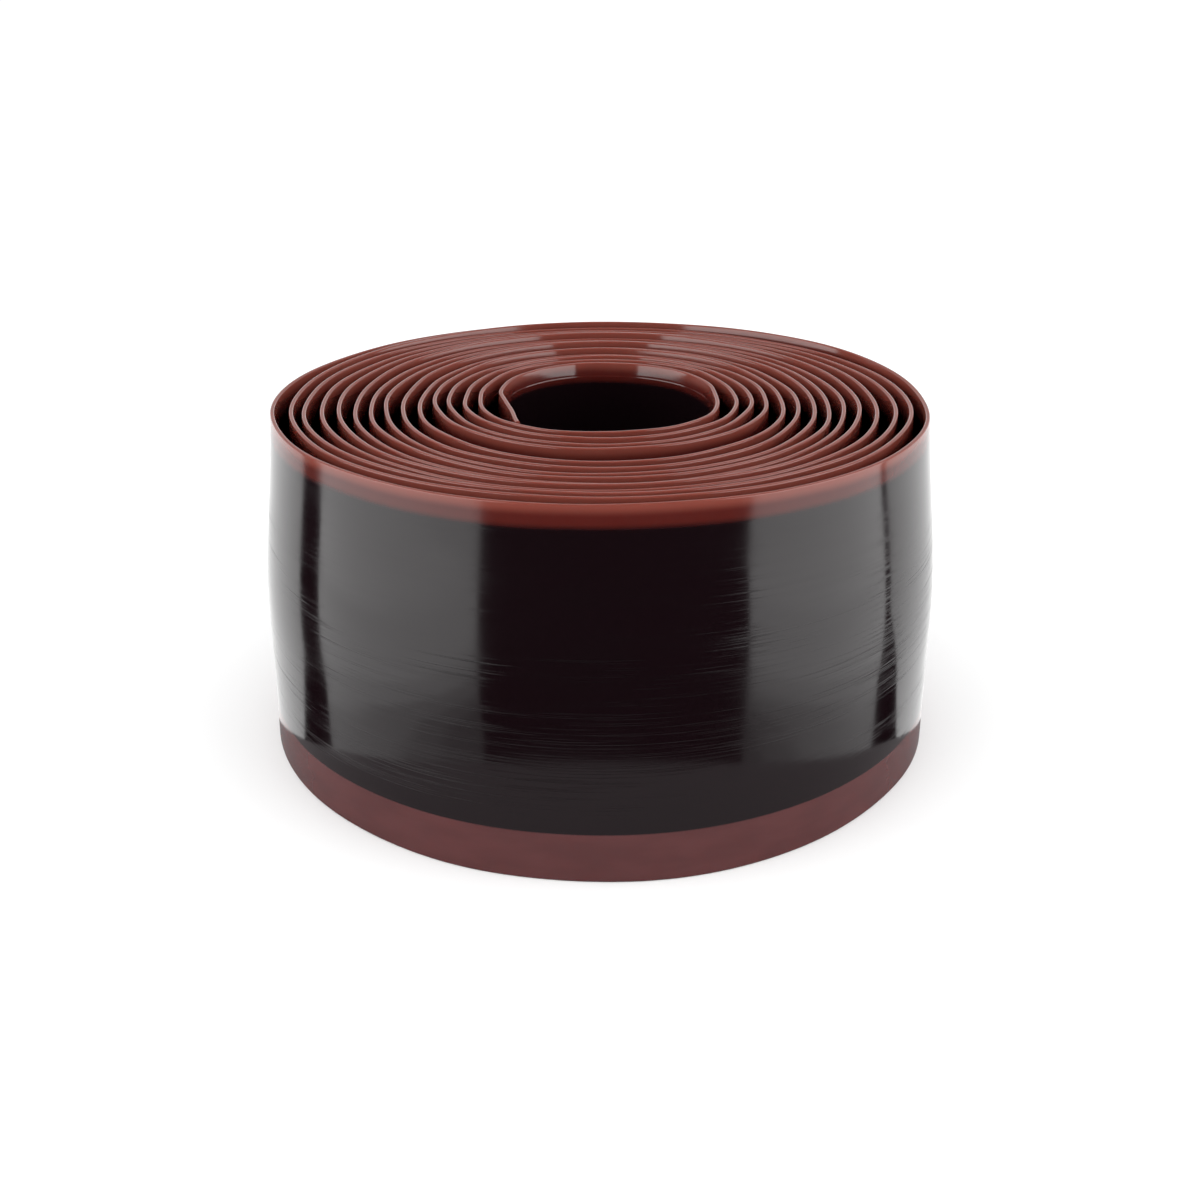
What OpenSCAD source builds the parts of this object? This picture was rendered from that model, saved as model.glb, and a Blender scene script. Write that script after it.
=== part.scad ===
// Tyre liner roll: one extruded plastic strip, wound on itself and standing on its lower edge.
// The strip has a thick dark centre band and a thin band along each edge. Its outer tail and its
// inner end are cut into lengths, because those are the stretches that bend in use.
// Millimetres, +Z up, origin at the middle of the roll on the surface that it stands on.

/* [Strip] */
// Width of the strip, which is the height of the roll
strip_w = 39; // [30:0.5:50]
// Thickness of the centre band
centre_t = 0.9; // [0.6:0.05:1]
// Thickness of both edge bands
edge_t = 0.45; // [0.3:0.05:0.6]
// Height of the upper edge band
upper_edge_h = 2.5; // [1.5:0.1:6]
// Height of the lower edge band
lower_edge_h = 5.4; // [1.5:0.1:8]

/* [Winding] */
// Distance that every turn stands further out than the side lists say
spread = 1.5; // [0:0.1:6]
// How far the innermost turns bulge on the diagonals
eye_bulge = 0.6; // [0:0.1:0.7]
// Longest angle that one flat facet of a turn covers
facet_deg = 7.5; // [5:0.5:15]

/* [Outer tail] */
// Number of hinged lengths in the outer tail
tail_lengths = 8; // [8:1:8]
// Angle of the roll that each length of the tail covers
tail_deg = 15; // [10:1:15]
// Gap between neighbouring lengths, measured along the strip
joint_gap = 0.1; // [0.05:0.05:0.3]

/* [Inner end] */
// Number of hinged lengths in the inner end
inner_lengths = 3; // [3:1:3]
// Angle of the roll that each length of the inner end covers
inner_deg = 30; // [20:1:30]

/* [Hidden] */
// Distance from the axis to the middle of the strip on each of four sides, from the innermost turn out.
// The strip passes them clockwise: left, back, right, front. The last right and front values only
// steer the end of the tail.
left_r = [11.4, 13.8, 15.6, 17.4, 18.9, 20.4, 22.3, 24.2, 25.8, 27.6, 29.5, 31.3, 33.3, 34.8, 36.8];
back_r = [13.7, 15.2, 16.9, 18.9, 20.8, 22.5, 24.2, 25.9, 27.5, 29.1, 30.7, 32.2, 33.7, 35.4, 36.6];
right_r = [13.6, 15.6, 17.3, 19.1, 20.7, 22.3, 24.2, 25.8, 27.4, 29.2, 31.2, 33.2, 34.9, 36.8, 38.0];
front_r = [14.9, 17.1, 19.2, 20.8, 24.7, 26.9, 28.5, 29.8, 31.0, 32.1, 33.2, 34.3, 35.4, 36.8, 38.2];
// How steeply the straight inner end runs in towards the axis
inner_slope = 0.2;
// Angles along the strip, counted clockwise from the first time it passes the left side
inner_tip_a = -47;
inner_root_a = inner_tip_a + inner_lengths * inner_deg;
tail_root_a = 14 * 360;
// Angle over which the bulge of the innermost turns comes and goes
bulge_end_a = 2 * 360;
// Outer face of every band, measured from the middle of the strip
face = centre_t / 2;
centre_h = strip_w - upper_edge_h - lower_edge_h;
dark = [0.11, 0.08, 0.09];
red_brown = [0.42, 0.2, 0.17];

BANDS = ["centre_band", "upper_edge", "lower_edge"];

// Distance from the axis at the i-th passing of a side, where i counts quarter turns.
function side_r(i) =
    let (turn = floor(i / 4), side = i - 4 * turn)
    i < 0 ? back_r[0] - PI * inner_slope * left_r[0] :
    side == 0 ? left_r[turn] :
    side == 1 ? back_r[turn] :
    side == 2 ? right_r[turn] : front_r[turn];

// A smooth curve through four values, at fraction u between the second and the third.
function between(p, u) =
    p[1] + u * (p[2] - p[0]) / 2
    + u * u * (2 * p[0] - 5 * p[1] + 4 * p[2] - p[3]) / 2
    + u * u * u * (3 * p[1] - p[0] - 3 * p[2] + p[3]) / 2;

// Distance from the axis to the middle of the strip at angle a. The inner end is a straight run.
function path_r(a) =
    let (i = floor(a / 90), x = min(1, a / bulge_end_a))
    let (bulge = eye_bulge * pow(sin(2 * a), 2) * 4 * x * (1 - x))
    a < 0 ? spread + left_r[0] / (cos(a) - inner_slope * sin(a)) :
    spread + bulge + between([for (k = [-1:2]) side_r(i + k)], a / 90 - i);

// The point at angle a, a distance out from the middle of the strip.
function on_strip(a, out) = (path_r(a) + out) * [-cos(a), sin(a)];

// Half of the gap between two lengths, as an angle.
function half_gap(a) = joint_gap / 2 / path_r(a) * 180 / PI;

// One band of the strip from angle a0 to a1, with its outer face on the strip's outer face.
module band(a0, a1, t, z, h) {
    n = ceil((a1 - a0) / facet_deg);
    outer = [for (k = [0:n]) on_strip(a0 + (a1 - a0) * k / n, face)];
    inner = [for (k = [n:-1:0]) on_strip(a0 + (a1 - a0) * k / n, face - t)];
    translate([0, 0, z])
        linear_extrude(h)
            polygon(concat(outer, inner));
}

// One named band of a length of strip.
module length_of_strip(b, a0, a1) {
    if (b == "centre_band")
        color(dark) band(a0, a1, centre_t, lower_edge_h, centre_h);
    if (b == "upper_edge")
        color(red_brown) band(a0, a1, edge_t, strip_w - upper_edge_h, upper_edge_h);
    if (b == "lower_edge")
        color(red_brown) band(a0, a1, edge_t, 0, lower_edge_h);
}

// The turns that stay wound.
module wound(b) {
    length_of_strip(b, inner_root_a + half_gap(inner_root_a), tail_root_a - half_gap(tail_root_a));
}

// The k-th length of the outer tail, counted from the roll to the free end.
module tail(k, b) {
    a0 = tail_root_a + (k - 1) * tail_deg;
    a1 = a0 + tail_deg;
    length_of_strip(b, a0 + half_gap(a0), k == tail_lengths ? a1 : a1 - half_gap(a1));
}

// The k-th length of the inner end, counted from the roll to the free end.
module inner_end(k, b) {
    a1 = inner_root_a - (k - 1) * inner_deg;
    a0 = a1 - inner_deg;
    length_of_strip(b, k == inner_lengths ? a0 : a0 + half_gap(a0), a1 - half_gap(a1));
}

for (b = BANDS) {
    wound(b);
    for (k = [1:tail_lengths])
        tail(k, b);
    for (k = [1:inner_lengths])
        inner_end(k, b);
}
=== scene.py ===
# %% [markdown]
# # A wound roll of tyre liner strip
#
# The object is one long plastic strip, extruded in one go, wound on itself and stood on its edge. There is
# no core and nothing inside, so everything that can be seen is the strip: a thick, near-black, glossy band
# in the middle, and a thin red-brown edge above and below it, which lets a little light through.
#
# The whole model is therefore one formula. A point of the strip has three strip coordinates: the angle it
# has been wound through, its height across the strip, and how far it stands out from the strip's middle.
# One function turns those into a place in space, and every mesh below is a grid of strip coordinates sent
# through it.

import math

import bpy
import numpy as np
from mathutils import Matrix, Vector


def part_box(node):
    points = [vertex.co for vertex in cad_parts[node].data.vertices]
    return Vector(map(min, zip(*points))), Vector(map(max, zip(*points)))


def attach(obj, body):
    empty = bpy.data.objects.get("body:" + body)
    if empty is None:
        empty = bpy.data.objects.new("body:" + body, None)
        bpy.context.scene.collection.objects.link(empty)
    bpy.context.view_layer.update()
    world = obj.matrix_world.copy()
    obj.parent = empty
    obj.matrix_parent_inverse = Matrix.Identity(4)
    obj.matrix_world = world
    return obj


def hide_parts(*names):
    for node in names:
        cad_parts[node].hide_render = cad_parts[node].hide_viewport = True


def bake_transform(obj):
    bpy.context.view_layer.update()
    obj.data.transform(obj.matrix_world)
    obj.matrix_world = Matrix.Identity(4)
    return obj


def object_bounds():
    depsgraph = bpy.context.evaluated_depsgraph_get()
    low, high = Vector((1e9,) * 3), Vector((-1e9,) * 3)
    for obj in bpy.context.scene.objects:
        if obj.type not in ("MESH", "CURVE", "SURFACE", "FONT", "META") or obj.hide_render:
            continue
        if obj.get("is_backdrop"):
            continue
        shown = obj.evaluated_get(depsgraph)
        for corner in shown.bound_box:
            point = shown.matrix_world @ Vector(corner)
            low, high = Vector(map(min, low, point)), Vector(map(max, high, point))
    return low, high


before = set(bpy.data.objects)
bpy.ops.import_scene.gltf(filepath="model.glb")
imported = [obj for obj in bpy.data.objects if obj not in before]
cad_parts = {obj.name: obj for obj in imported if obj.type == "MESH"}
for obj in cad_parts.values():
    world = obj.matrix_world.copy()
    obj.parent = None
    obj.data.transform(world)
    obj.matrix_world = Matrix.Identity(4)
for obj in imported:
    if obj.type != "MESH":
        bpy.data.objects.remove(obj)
cad_low, cad_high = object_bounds()
print("CAD box in mm:", [round(v * 1000, 1) for v in (*cad_low, *cad_high)])

# %% [markdown]
# ## How the strip is wound
#
# Turns of springy plastic are never even circles: they crowd together on one side and stand open on the
# other. A list of distances for each of four sides says where each turn passes that side, and a smooth
# curve joins them. The lists are the ones the CAD model is made with, in millimetres, and the heights of
# the three bands are read from the CAD nodes.

# %% Winding, in millimetres
MM = 0.001
left_r = [11.4, 13.8, 15.6, 17.4, 18.9, 20.4, 22.3, 24.2, 25.8, 27.6, 29.5, 31.3, 33.3, 34.8, 36.8]
back_r = [13.7, 15.2, 16.9, 18.9, 20.8, 22.5, 24.2, 25.9, 27.5, 29.1, 30.7, 32.2, 33.7, 35.4, 36.6]
right_r = [13.6, 15.6, 17.3, 19.1, 20.7, 22.3, 24.2, 25.8, 27.4, 29.2, 31.2, 33.2, 34.9, 36.8, 38.0]
front_r = [14.9, 17.1, 19.2, 20.8, 24.7, 26.9, 28.5, 29.8, 31.0, 32.1, 33.2, 34.3, 35.4, 36.8, 38.2]
SPREAD = 1.5  # every turn stands this much further out at mid height
EYE_BULGE = 0.6  # the innermost turns bulge this much on the diagonals
BULGE_END = 2 * 360  # degrees over which that bulge comes and goes
INNER_SLOPE = 0.2  # how steeply the straight inner end runs in
CENTRE_T, EDGE_T = 0.9, 0.45  # thickness of the centre band and of the edges
FACE = CENTRE_T / 2  # the outer face, measured from the strip's middle

# Angles are counted clockwise from the first time that the strip passes the left side
INNER_TIP, INNER_ROOT, INNER_STEP, INNER_LENGTHS = -47, 43, 30, 3
TAIL_ROOT, TAIL_STEP, TAIL_LENGTHS = 14 * 360, 15, 8
TAIL_TIP = TAIL_ROOT + TAIL_LENGTHS * TAIL_STEP

WIDTH = (cad_high[2] - cad_low[2]) / MM
LOWER_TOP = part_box("wound_lower_edge")[1][2] / MM
UPPER_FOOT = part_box("wound_upper_edge")[0][2] / MM
print(f"strip {WIDTH:.1f} mm wide, dark band from {LOWER_TOP:.1f} to {UPPER_FOOT:.1f} mm")

sides = np.array([left_r, back_r, right_r, front_r]).T.ravel()
sides = np.concatenate([[back_r[0] - math.pi * INNER_SLOPE * left_r[0]], sides])


def path_radius(angle):
    """Distance from the axis to the strip's middle: a Catmull-Rom curve through the side distances, one
    every quarter turn, and before angle 0 a straight line in polar form, r = r0 / (cos a - slope sin a)."""
    turn_a = np.maximum(angle, 0)
    quarter = np.floor(turn_a / 90).astype(int)
    u = turn_a / 90 - quarter
    p0, p1, p2, p3 = (sides[quarter + k] for k in range(4))
    curve = (p1 + u * (p2 - p0) / 2 + u**2 * (2 * p0 - 5 * p1 + 4 * p2 - p3) / 2
             + u**3 * (3 * p1 - p0 - 3 * p2 + p3) / 2)
    x = np.minimum(1, turn_a / BULGE_END)
    curve = curve + EYE_BULGE * np.sin(np.radians(2 * turn_a))**2 * 4 * x * (1 - x)
    a = np.radians(np.minimum(angle, 0))
    straight = left_r[0] / (np.cos(a) - INNER_SLOPE * np.sin(a))
    return SPREAD + np.where(angle < 0, straight, curve)


def smooth_step(x, low, high):
    """0 below low, 1 above high, and 3t^2 - 2t^3 between them."""
    t = np.clip((x - low) / (high - low), 0, 1)
    return t * t * (3 - 2 * t)


# %% [markdown]
# ## From strip coordinates to a place
#
# The strip's wall isn't quite upright. It leans inwards near the top, the thin edges are a little wavy, and
# the turns stand at slightly different heights, because a roll of plain strip has nothing to line them up.
# Each of these is a smooth function of the angle and the height, added to the plain winding.

# %% Placing a point of the strip
LEAN = 2.1  # how far the wall would lean in by LEAN_TO
LEAN_FROM, LEAN_TO = 16, 43
SQUARE = 0.15  # how far the lower edge bulges on four sides and draws in between them
RIM_WAVE = 0.16  # how far the thin edges wander in and out
WAVE_REACH = 4  # how far the waves reach past a thin edge into the dark band
# How far each turn stands up from the floor at the back and at the front, from the innermost turn out
back_rise = np.array([0.3, 0.3, 0.4, 0.0, 0.4, 0.0, 0.45, 0.1, 0.0, 0.45, 0.15, 0.0, 0.0, 0.42, 0.0])
front_rise = np.array([0.1, 0.15, 0.1, 0.2, 0.1, 0.2, 0.1, 0.2, 0.0, 0.3, 0.1, 0.3, 0.2, 0.0, 0.0])
# The turn inside the tail stands up a little just past the tail's end: how far, at what angle, how widely
OVERLAP_RISE, OVERLAP_A, OVERLAP_SPAN = 0.35, TAIL_TIP - 360 + 22, 28


def lean_at(z):
    """Inward lean: a smooth step that starts at LEAN_FROM and hasn't quite ended at the upper rim."""
    return -LEAN * smooth_step(z, LEAN_FROM, LEAN_TO)


def wave_at(angle, z):
    """Waviness of the edges: three sines of unrelated lengths along the strip, strongest at each rim, and
    at the lower edge a cosine with four periods a turn, which squares that edge a little."""
    t = np.radians(angle)
    upper = np.sin(5.3 * t + 0.4) + 0.6 * np.sin(8.7 * t + 2.1) + 0.4 * np.sin(13.9 * t)
    lower = np.sin(4.6 * t + 1.7) + 0.7 * np.sin(7.9 * t + 0.3) + 0.4 * np.sin(12.1 * t + 1.0)
    to_upper = smooth_step(z, UPPER_FOOT - WAVE_REACH, WIDTH)
    to_lower = smooth_step(-z, -LOWER_TOP - WAVE_REACH, 0)
    square = -SQUARE * np.cos(4 * (t - np.pi / 4))
    return RIM_WAVE / 2 * (upper * to_upper + lower * to_lower) + square * to_lower


def rise_at(angle):
    """How far the strip stands up: the two lists, each times the sine of the angle to the power 1.5, so
    that both fade to nothing at the left and right sides, and a bell curve just past the tail's end."""
    turn = np.clip(np.floor(angle / 360), 0, len(back_rise) - 1).astype(int)
    sine = np.sin(np.radians(angle))
    overlap = OVERLAP_RISE * np.exp(-((angle - OVERLAP_A) / OVERLAP_SPAN)**2)
    back, front = np.maximum(0, sine)**1.5, np.maximum(0, -sine)**1.5
    return back_rise[turn] * back + front_rise[turn] * front + overlap


def middle(angle):
    """The middle line of the strip in plan."""
    a = np.radians(angle)
    return path_radius(angle)[..., None] * np.stack([-np.cos(a), np.sin(a)], -1)


def place(angle, out, z):
    """The point at that angle and height, a distance out from the middle line along its outward normal.
    The normal is the line's tangent turned a quarter turn; lean and waves move the point along it."""
    step = 0.01
    along = middle(angle + step) - middle(angle - step)
    along = along / np.linalg.norm(along, axis=-1, keepdims=True)
    outward = np.stack([-along[..., 1], along[..., 0]], -1)
    shift = (out + lean_at(z) + wave_at(angle, z))[..., None]
    plan = middle(angle) + outward * shift
    height = z + rise_at(angle) + 0 * out
    return np.concatenate([plan, height[..., None]], -1) * MM


print(f"the wall leans in by {-lean_at(WIDTH):.2f} mm at the upper rim")

# %% [markdown]
# ## The profile
#
# Cut across, the strip is a flat bar that is thick in the middle and thin at both edges. Its outer face is
# flush from rim to rim, so all change in thickness is on the inner face: a bevel above the lower edge, and a
# taper that ends in a small lip below the upper rim. Both rims are rounded. Each band has its own closed loop
# of points, and neighbouring loops share the line where the bands meet.

# %% Profile loops
RIM_ROUND = 0.16  # radius of the rounded rims
FACE_STEP, CLOSEST = 1.6, 0.012  # distances between a face's heights: the usual one, and the least
BEVEL = 1.1  # height of the bevel above the lower edge
TAPER, LIP = 1.5, 0.15  # heights of the upper taper and of the lip below it
TAPER_T = 0.84  # thickness where the taper meets the lip


def thickness(z):
    """EDGE_T at the rims and CENTRE_T in the dark band. A smooth bevel leads up from the lower edge, and
    a straight taper from the upper rim thickens to TAPER_T, where the lip takes it to CENTRE_T."""
    below = WIDTH - z
    taper = EDGE_T + (TAPER_T - EDGE_T) * np.clip(below / TAPER, 0, 1)
    upper = taper + (CENTRE_T - TAPER_T) * smooth_step(below, TAPER, TAPER + LIP)
    lower = EDGE_T + (CENTRE_T - EDGE_T) * smooth_step(z, LOWER_TOP, LOWER_TOP + BEVEL)
    return np.minimum(lower, upper)


def rim_cut(z):
    """How far a rounded rim draws each face in: a circle of RIM_ROUND at the top and at the bottom."""
    d = np.clip(np.minimum(z, WIDTH - z), 0, RIM_ROUND)
    return RIM_ROUND - np.sqrt(RIM_ROUND**2 - (RIM_ROUND - d)**2)


def face_heights(low, high):
    """Heights up a band's face: close together at a rounded rim, a lip and a bevel, wider apart elsewhere."""
    rim = RIM_ROUND * (1 - np.cos(np.linspace(0, np.pi / 2, 5)))
    stops = [np.linspace(low, high, max(5, round((high - low) / FACE_STEP)))]
    if low == 0:
        stops.append(rim)
    if high == WIDTH:
        stops += [WIDTH - rim, WIDTH - TAPER - np.linspace(0, LIP, 5)]
    if low == LOWER_TOP:
        stops.append(LOWER_TOP + np.linspace(0, BEVEL, 6))
    z = np.unique(np.round(np.concatenate(stops), 4))
    return z[np.concatenate([[True], np.diff(z) > CLOSEST])]


def profile(low, high):
    """(out, z, slope_out, slope_z) of a band's loop: up its outer face, then down its inner face. The slopes
    are the loop's direction at each point, from the two points next to it on the same face."""
    z = face_heights(low, high)
    nudge = 0.004
    loops = []
    for name in ("outer", "inner"):
        def out_at(h, name=name):
            h = np.clip(h, 0, WIDTH)
            return FACE - rim_cut(h) if name == "outer" else FACE - thickness(h) + rim_cut(h)
        d_out = out_at(z + nudge) - out_at(z - nudge)
        d_z = np.clip(z + nudge, 0, WIDTH) - np.clip(z - nudge, 0, WIDTH)
        if name == "outer":
            loops.append((out_at(z), z, d_out, d_z))
        else:
            loops.append((out_at(z)[::-1], z[::-1], -d_out[::-1], -d_z[::-1]))
    return [np.concatenate([a, b]) for a, b in zip(*loops)]


BANDS = {
    "dark_band": ("centre_band", LOWER_TOP, UPPER_FOOT),
    "upper_edge": ("upper_edge", UPPER_FOOT, WIDTH),
    "lower_edge": ("lower_edge", 0.0, LOWER_TOP),
}
for band, (_, low, high) in BANDS.items():
    print(band, "loop of", len(profile(low, high)[0]), "points")

# %% [markdown]
# ## Sweeping a stretch of strip
#
# A stretch is the loop repeated at many angles, with a cap at each end. Neighbouring stretches meet without
# a visible seam only if their shading agrees as well as their edges, so the normals come from the formula
# and not from the faces: two small steps, one along the strip and one round the loop, and their cross
# product. A point attribute keeps each point's strip coordinates in metres, so that scratches can run along
# the strip.

# %% Mesh of a stretch
STATION = 1.1  # millimetres between the rings of points along the strip


def arc_length(angle):
    """Length of strip from the inner tip to an angle, summed over short chords."""
    fine = np.linspace(INNER_TIP, TAIL_TIP + 1, 12000)
    steps = np.linalg.norm(np.diff(middle(fine), axis=0), axis=1)
    return np.interp(angle, fine, np.concatenate([[0], np.cumsum(steps)]))


def stations(a0, a1):
    """Angles from a0 to a1 at equal distances along the strip."""
    fine = np.linspace(a0, a1, 400 + int(abs(a1 - a0)))
    length = arc_length(fine)
    count = max(5, int((length[-1] - length[0]) / STATION) + 1)
    return np.interp(np.linspace(length[0], length[-1], count), length, fine)


def sweep(name, a0, a1, band):
    """A closed mesh of one band from angle a0 to a1: a grid of rings, joined by quads, and two end caps."""
    _, low, high = BANDS[band]
    out, z, slope_out, slope_z = profile(low, high)
    a = stations(a0, a1)[:, None]
    shape = (len(a), len(out))
    grid = place(*np.broadcast_arrays(a, out, z))
    da, dp = 0.02, 0.5
    along = place(*np.broadcast_arrays(a + da, out, z)) - place(*np.broadcast_arrays(a - da, out, z))
    across = (place(*np.broadcast_arrays(a, out + dp * slope_out, z + dp * slope_z))
              - place(*np.broadcast_arrays(a, out - dp * slope_out, z - dp * slope_z)))
    normal = np.cross(across, along)
    normal /= np.linalg.norm(normal, axis=-1, keepdims=True)

    index = np.arange(shape[0] * shape[1]).reshape(shape)
    ring = np.roll(index, -1, axis=1)
    quads = np.stack([index[:-1], ring[:-1], ring[1:], index[1:]], -1).reshape(-1, 4)
    caps = [index[0][::-1], index[-1]]
    mesh = bpy.data.meshes.new(name)
    mesh.from_pydata(grid.reshape(-1, 3).tolist(), [], quads.tolist() + [c.tolist() for c in caps])
    mesh.polygons.foreach_set("use_smooth", np.ones(len(mesh.polygons), bool))

    tangent = [place(np.array([x]), np.array([0.0]), np.array([20.0]))[0] for x in
               (a[0, 0] + da, a[0, 0] - da, a[-1, 0] + da, a[-1, 0] - da)]
    first, last = tangent[1] - tangent[0], tangent[2] - tangent[3]
    flat = [np.tile(v / np.linalg.norm(v), (shape[1], 1)) for v in (first, last)]
    corners = np.concatenate([normal.reshape(-1, 3)[quads.ravel()], *flat])
    mesh.normals_split_custom_set(corners)

    strip = np.stack(np.broadcast_arrays(arc_length(a) * MM, z * MM, out * MM), -1).reshape(-1, 3)
    mesh.attributes.new("strip", "FLOAT_VECTOR", "POINT").data.foreach_set(
        "vector", strip.astype(np.float32).ravel())
    piece = bpy.data.objects.new(name, mesh)
    bpy.context.scene.collection.objects.link(piece)
    return piece


print(f"the strip is {arc_length(TAIL_TIP) * MM:.2f} m long")

# %% [markdown]
# ## The wound turns
#
# The part that stays wound rides on the body called roll. It is swept in four stretches, from the eye out.

# %% Wound turns
wound_ends = {
    "inner_turns": (INNER_ROOT + INNER_STEP / 2, 4 * 360),
    "middle_turns": (4 * 360, 9 * 360),
    "outer_turns": (9 * 360, 13 * 360),
    "last_turn": (13 * 360, TAIL_ROOT - TAIL_STEP / 2),
}
strip_pieces = []
for stretch, (a0, a1) in wound_ends.items():
    for band, (cad_name, _, _) in BANDS.items():
        piece = sweep(f"{stretch}_{band}", a0, a1, band)
        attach(piece, "roll")
        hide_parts(f"wound_{cad_name}")
        strip_pieces.append((piece, band))
    print(stretch, "swept,", len(piece.data.vertices), "points in its lower edge")

# %% [markdown]
# ## The ends that bend
#
# The outer tail peels off the roll, and the inner end flexes into the eye. In the CAD model each is a chain
# of short hinged lengths. Real strip has no hinges, so here each piece reaches from the middle of one length
# to the middle of the next and follows the smooth curve of the winding.

# %% Bending pieces
BEND_REACH = 0.86  # share of the half length, each way from a hinge, to the two points worked out on the strip's mid line


def bending_pieces(chain, hinges, half_step, tip):
    """One set of three bands over each hinge of a chain. half_step has the sign in which the chain runs."""
    for k, hinge in enumerate(hinges):
        last = k == len(hinges) - 1
        ends = (hinge - half_step, tip if last else hinge + half_step)
        line = [place(np.array([x]), np.array([0.0]), np.array([WIDTH / 2]))[0]
                for x in (hinge - half_step * BEND_REACH, hinge + half_step * BEND_REACH)]
        for band, (cad_name, _, _) in BANDS.items():
            piece = sweep(f"{chain}_{k + 1}_bend_{band}", min(ends), max(ends), band)
            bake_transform(piece)
            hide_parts(f"{chain}_{k + 1}_{cad_name}")
            strip_pieces.append((piece, band))
    print(chain, "has", len(hinges), "bends")


bending_pieces("tail", [TAIL_ROOT + k * TAIL_STEP for k in range(TAIL_LENGTHS)], TAIL_STEP / 2, TAIL_TIP)
bending_pieces("inner_end", [INNER_ROOT - k * INNER_STEP for k in range(INNER_LENGTHS)],
               -INNER_STEP / 2, INNER_TIP)

# %% [markdown]
# ## Writing shader maths as Python
#
# The finish needs a good deal of node arithmetic, which is hard to read as a list of links. This small class
# wraps one socket, so that an ordinary expression such as 1 - mask * 0.3 adds the Math nodes it needs. Every
# other node comes from its method node().


# %% Sockets with operators
class Sock:
    """One output socket of a material's node tree, or the tree itself when socket is None."""

    def __init__(self, tree, socket=None):
        self.tree, self.socket = tree, socket

    def node(self, kind, settings=(), output=0, **inputs):
        """Adds a node, then its settings, then its inputs by name (spaces as _); returns one output."""
        made = self.tree.nodes.new(kind)
        for key, value in dict(settings).items():
            setattr(made, key, value)
        for key, value in inputs.items():
            name = int(key[1:]) if key[1:].isdigit() else key.replace("_", " ")
            if isinstance(value, Sock):
                self.tree.links.new(value.socket, made.inputs[name])
            else:
                made.inputs[name].default_value = value
        return Sock(self.tree, made.outputs[output] if made.outputs else None)

    def maths(self, operation, *values):
        """A Math node on up to three values or sockets."""
        inputs = {f"i{k}": value for k, value in enumerate(values)}
        return self.node("ShaderNodeMath", {"operation": operation}, **inputs)

    def __add__(self, other):
        return self.maths("ADD", self, other)

    def __sub__(self, other):
        return self.maths("SUBTRACT", self, other)

    def __rsub__(self, other):
        return self.maths("SUBTRACT", other, self)

    def __mul__(self, other):
        return self.maths("MULTIPLY", self, other)

    __radd__, __rmul__ = __add__, __mul__

    def step(self, low, high):
        """Smoothly 0 to 1 as this value goes from low to high."""
        return self.node("ShaderNodeMapRange", {"interpolation_type": "SMOOTHSTEP"},
                         Value=self, From_Min=low, From_Max=high)

    def blend(self, low, high):
        """The colour low where this value is 0 and high where it is 1."""
        return self.node("ShaderNodeMix", {"data_type": "RGBA"}, output=2, i0=self, i6=low, i7=high)


# %% [markdown]
# ## The finish
#
# Both materials are one plastic. Where the strip is thick it looks black, with a warm tint, and where it is
# thin it is red-brown. The colour is therefore worked out from the height across the strip, in one function
# that both materials share, so that they agree along the line where two bands meet. The lower line is crisp.
# The upper one is soft, because the plastic thins out gradually there.
#
# The dark band's gloss is broken by what handling leaves on such a strip: long hairline scratches that run
# along it, and a faint haze in patches.

# %% Shared colour and wear
DARK = (0.0052, 0.0022, 0.0031, 1)
SHADED_DARK_RED = (0.066, 0.0096, 0.0074, 1)
LIT_RIM_RED_BROWN = (0.172, 0.042, 0.030, 1)
LOWER_EDGE_RED = (0.084, 0.026, 0.026, 1)
LOWER_EDGE_DARK_RED = tuple(c * 0.85 for c in LOWER_EDGE_RED[:3]) + (1,)
# Where one colour gives way to the next, in metres: below the upper rim, where the painted light at the rim
# fades to painted shade, and about the two band lines
LIT_RIM_FADE, FOOT_FADE, LOWER_FADE = (-0.0013, -0.0002), (-0.0001, 0.0007), (-0.00012, 0.00012)


def strip_coordinates(tree):
    """(vector, height) of the strip coordinates, in metres."""
    vector = tree.node("ShaderNodeAttribute", {"attribute_name": "strip"}, output="Vector")
    height = tree.node("ShaderNodeSeparateXYZ", output=1, Vector=vector)
    return vector, height


def stretched_noise(tree, vector, along, across, detail=2.0, seed=0.0):
    """Noise with a grain of `along` metres along the strip and `across` metres over it."""
    scaled = tree.node("ShaderNodeMapping", Vector=vector, Location=(seed, seed, seed),
                       Scale=(1 / along, 1 / across, 900))
    return tree.node("ShaderNodeTexNoise", Vector=scaled, Scale=1.0, Detail=detail)


def strip_colour(tree, vector, height):
    """Red-brown at the upper rim and dark red a little below it, where the plastic thickens; this fade is
    also painted light shining through the thin rim and painted shade between the turns. Two darker reds,
    mottled, along the lower edge, and near-black over the centre band.
    """
    lower_top, upper_foot, width = LOWER_TOP * MM, UPPER_FOOT * MM, WIDTH * MM
    wander = stretched_noise(tree, vector, 0.02, 0.02, seed=3.0) - 0.5
    shifted = height + wander * 0.0006
    # Painted light and shade: lighter red-brown at the upper rim, fading to a darker red below it.
    up = shifted.step(*(width + d for d in LIT_RIM_FADE))
    rim = up.blend(SHADED_DARK_RED, LIT_RIM_RED_BROWN)
    # The lower edge is darker than the upper rim, mottled at random between two reds.
    mottle = stretched_noise(tree, vector, 0.006, 0.002, seed=9.0).step(0.3, 0.7)
    low = mottle.blend(LOWER_EDGE_RED, LOWER_EDGE_DARK_RED)
    band = shifted.step(*(upper_foot + d for d in FOOT_FADE)).blend(DARK, rim)
    return height.step(*(lower_top + d for d in LOWER_FADE)).blend(low, band)


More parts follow.
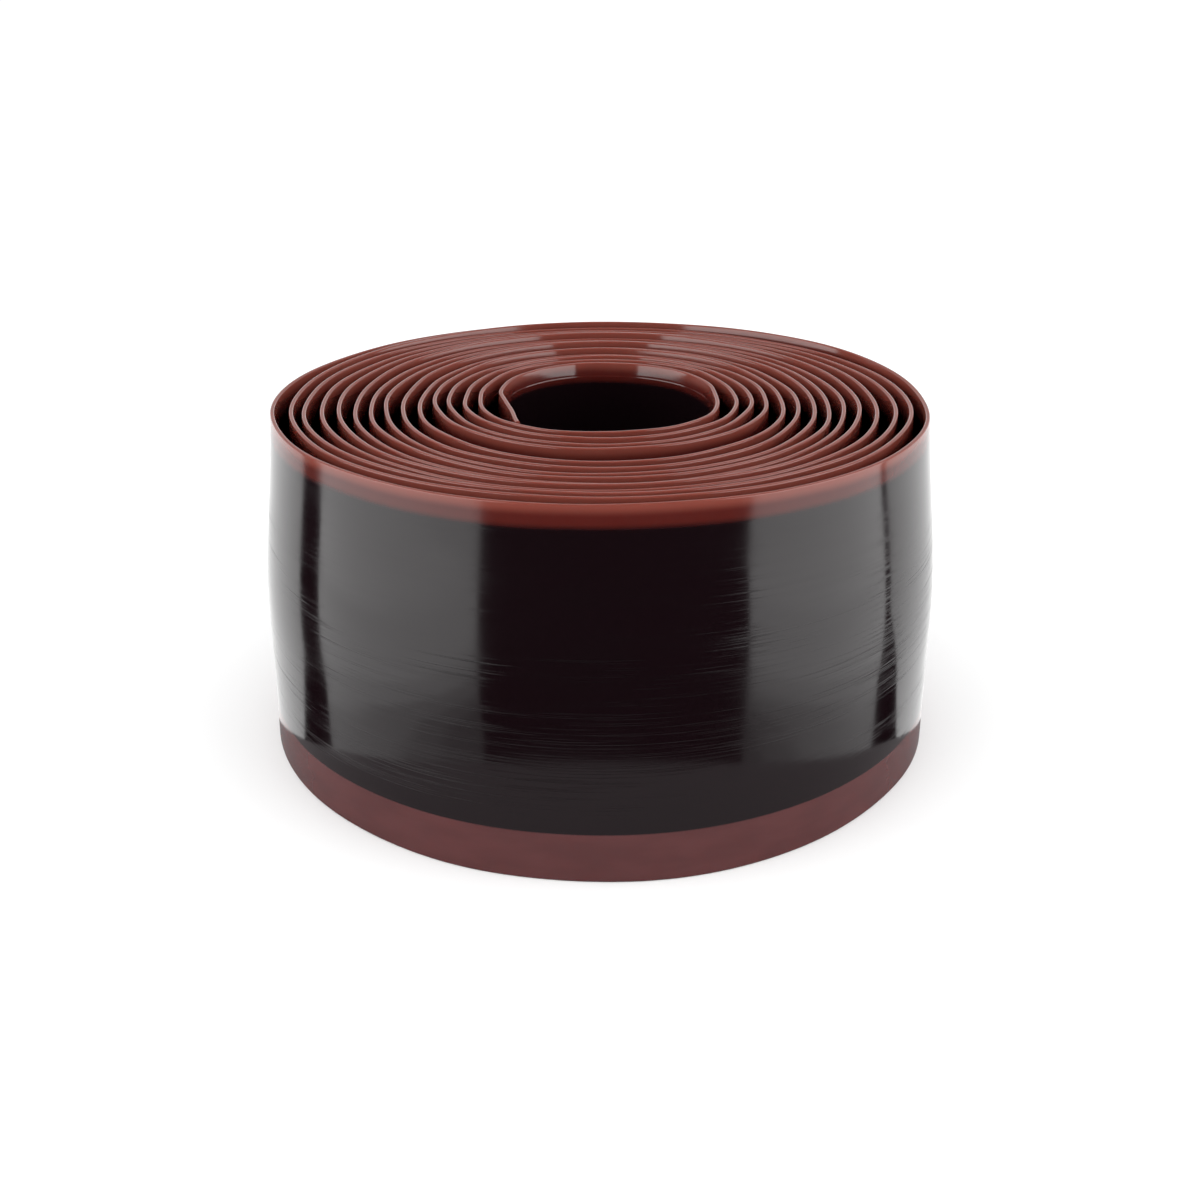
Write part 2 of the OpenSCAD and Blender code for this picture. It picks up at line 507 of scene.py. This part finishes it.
def plastic(name, roughness, scratch, subsurface):
    """The strip's plastic: its colour by height, and hairlines and haze in the roughness and the bump."""
    material = bpy.data.materials.new(name)
    material.use_nodes = True
    material.node_tree.nodes.clear()
    tree = Sock(material.node_tree)
    vector, height = strip_coordinates(tree)
    lines = stretched_noise(tree, vector, 0.014, 0.00008, detail=3.0).step(0.54, 0.72)
    where = stretched_noise(tree, vector, 0.026, 0.0030, seed=5.0).step(0.36, 0.60)
    where = where * height.step(0.004, 0.010) * (1 - height.step(0.024, 0.032) * 0.7)
    haze = stretched_noise(tree, vector, 0.012, 0.009, detail=4.0, seed=7.0).step(0.35, 0.75)
    hairlines = lines * where * scratch
    rough = roughness + haze * 0.05 + hairlines * 0.28
    fine = stretched_noise(tree, vector, 0.05, 0.0006, seed=11.0)
    bump = tree.node("ShaderNodeBump", Strength=0.24, Distance=0.00002, Height=fine * 0.5 + hairlines)
    shader = tree.node(
        "ShaderNodeBsdfPrincipled", Base_Color=strip_colour(tree, vector, height), Roughness=rough,
        Normal=bump, IOR=1.5, Subsurface_Weight=subsurface, Subsurface_Radius=(1.0, 0.25, 0.18),
        Subsurface_Scale=0.0006)
    tree.node("ShaderNodeOutputMaterial", Surface=shader)
    return material


finishes = {
    "dark_band": (plastic("dark_centre_plastic", 0.09, 1.0, 0.0), "centre_band"),
    "upper_edge": (plastic("red_brown_edge_plastic", 0.11, 0.35, 0.35), "thin_edge"),
}
finishes["lower_edge"] = finishes["upper_edge"]
for piece, band in strip_pieces:
    material, slot = finishes[band]
    piece.data.materials.append(material)
print(len(strip_pieces), "pieces in", len(bpy.data.materials), "materials")

# %% [markdown]
# ## The table top
#
# The roll stands on a pale floor. The floor would fill the whole glossy wall with its own reflection, so
# gloss doesn't see it. A small disc, set forward a little under the roll, is seen by gloss only and gives
# the grey foot of the reflections.

# %% Floor
def disc(name, radius, height, colour, forward=0.0):
    """A flat ring of quads, x = r cos t, y = r sin t - forward, with a plain rough finish."""
    r, t = np.meshgrid([0.0001, radius], np.linspace(0, 2 * np.pi, 129)[:-1])
    points = np.stack([r * np.cos(t), r * np.sin(t) - forward, np.full_like(r, height)], -1).reshape(-1, 3)
    k = np.arange(128)
    n = (k + 1) % 128
    quads = np.stack([2 * k, 2 * k + 1, 2 * n + 1, 2 * n], -1)
    mesh = bpy.data.meshes.new(name)
    mesh.from_pydata(points.tolist(), [], quads.tolist())
    made = bpy.data.objects.new(name, mesh)
    bpy.context.scene.collection.objects.link(made)
    finish = bpy.data.materials.new(name + "_finish")
    finish.use_nodes = True
    base = finish.node_tree.nodes["Principled BSDF"].inputs
    base["Base Color"].default_value = (*colour, 1)
    base["Roughness"].default_value = 0.9
    base["Specular IOR Level"].default_value = 0.0
    mesh.materials.append(finish)
    made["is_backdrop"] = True
    return made


floor = disc("floor", 20.0, -0.00002, (0.9, 0.9, 0.9))
floor.visible_glossy = False
floor_near = disc("floor_near", 0.042, -0.00001, (0.30, 0.285, 0.29), forward=0.020)
floor_near.visible_camera = floor_near.visible_diffuse = floor_near.visible_shadow = False
print("floor:", [made.name for made in (floor, floor_near)])

# %% [markdown]
# ## The light
#
# The roll is in a light tent: a bright panel on either side, another behind, and a dark gap in front, where
# the camera looks in. The glossy wall shows these as grey and black stripes. An upright area light does for
# each panel, because its reflection has the crisp upright edges of a real softbox.


# %% Light
def panel(name, corner_a, corner_b, low, high, radiance, lights=True):
    """An upright area light between two plan points, facing the roll. Its power follows from its radiance."""
    a, b = np.array(corner_a), np.array(corner_b)
    wide, high_m = np.linalg.norm(b - a), high - low
    lamp = bpy.data.lights.new(name, "AREA")
    lamp.shape, lamp.size, lamp.size_y = "RECTANGLE", wide, high_m
    lamp.energy = radiance * math.pi * wide * high_m
    made = bpy.data.objects.new(name, lamp)
    made.location = (*((a + b) / 2), (low + high) / 2)
    facing = np.array([-(b - a)[1], (b - a)[0]])
    facing = facing if facing @ ((a + b) / 2) < 0 else -facing
    made.rotation_euler = (math.pi / 2, 0, math.atan2(facing[1], facing[0]) - math.pi / 2)
    made.visible_camera = False
    made.visible_diffuse = lights
    bpy.context.scene.collection.objects.link(made)
    return made


SIDE_X, SHEEN_X = 0.45, 0.455
# The side panels are rows of one width, which dim towards their lower ends
rows = {(-0.09, 0.03): 2.15, (-0.17, -0.09): 1.82, (-0.21, -0.17): 1.4, (-0.25, -0.21): 0.9,
        (-0.29, -0.25): 0.6, (-0.42, -0.29): 0.4}
for row, radiance in rows.items():
    panel("left_panel", (-SIDE_X, -0.58), (-SIDE_X, 0.085), *row, radiance)
    panel("right_panel", (SIDE_X, -0.43), (SIDE_X, 0.10), *row, radiance)
# Above the roll they reach further forward. A second sheet just behind each of these, seen by gloss only,
# makes its reflection brighter without more light on the roll.
upper = (0.03, 0.55)
panel("left_upper_panel", (-SIDE_X, -0.75), (-SIDE_X, 0.085), *upper, 1.95)
panel("right_upper_panel", (SIDE_X, -0.60), (SIDE_X, 0.10), *upper, 1.95)
panel("left_upper_sheen", (-SHEEN_X, -0.75), (-SHEEN_X, 0.085), *upper, 1.6, lights=False)
panel("right_upper_sheen", (SHEEN_X, -0.60), (SHEEN_X, 0.10), *upper, 1.6, lights=False)
panel("back_panel", (-1.25, 0.60), (1.75, 0.60), -0.6, 0.15, 1.3, lights=False)
panel("back_upper_panel", (-1.25, 0.60), (1.75, 0.60), 0.15, 0.8, 0.6, lights=False)
print(len(bpy.data.lights), "panels of light")

world = bpy.data.worlds.new("studio")
bpy.context.scene.world = world
world.use_nodes = True
world.node_tree.nodes["Background"].inputs["Color"].default_value = (1, 1, 1, 1)
world.node_tree.nodes["Background"].inputs["Strength"].default_value = 1.15
world.cycles_visibility.glossy = False
bpy.context.scene.view_settings.view_transform = "Standard"

# %% [markdown]
# ## The camera
#
# The camera looks down on the roll a little, from close by, so that the front rim bends more than the back
# one. Its distance is counted in radii of the outer rim.

# %% Camera
RIM_R = 36.8 * MM
camera_data = bpy.data.cameras.new("camera")
camera = bpy.data.objects.new("camera", camera_data)
bpy.context.scene.collection.objects.link(camera)
elevation, distance = math.radians(22), 4.6 * RIM_R
camera.location = (0, -distance * math.cos(elevation), WIDTH / 2 * MM + distance * math.sin(elevation))
camera.rotation_euler = (math.pi / 2 - elevation, 0, 0)
camera_data.sensor_width = 36
camera_data.lens = 42.6
camera_data.shift_y = -0.0392
camera_data.clip_start, camera_data.clip_end = 0.01, 20
bpy.context.scene.camera = camera
print(f"camera {distance * 1000:.0f} mm from the middle of the roll")

# %% [markdown]
# ## Sizes
#
# Both boxes are printed: the CAD model's above and the visual pieces' here.

# %% Sizes
low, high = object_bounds()
print("visual box in mm:", [round(v * 1000, 1) for v in (*low, *high)])
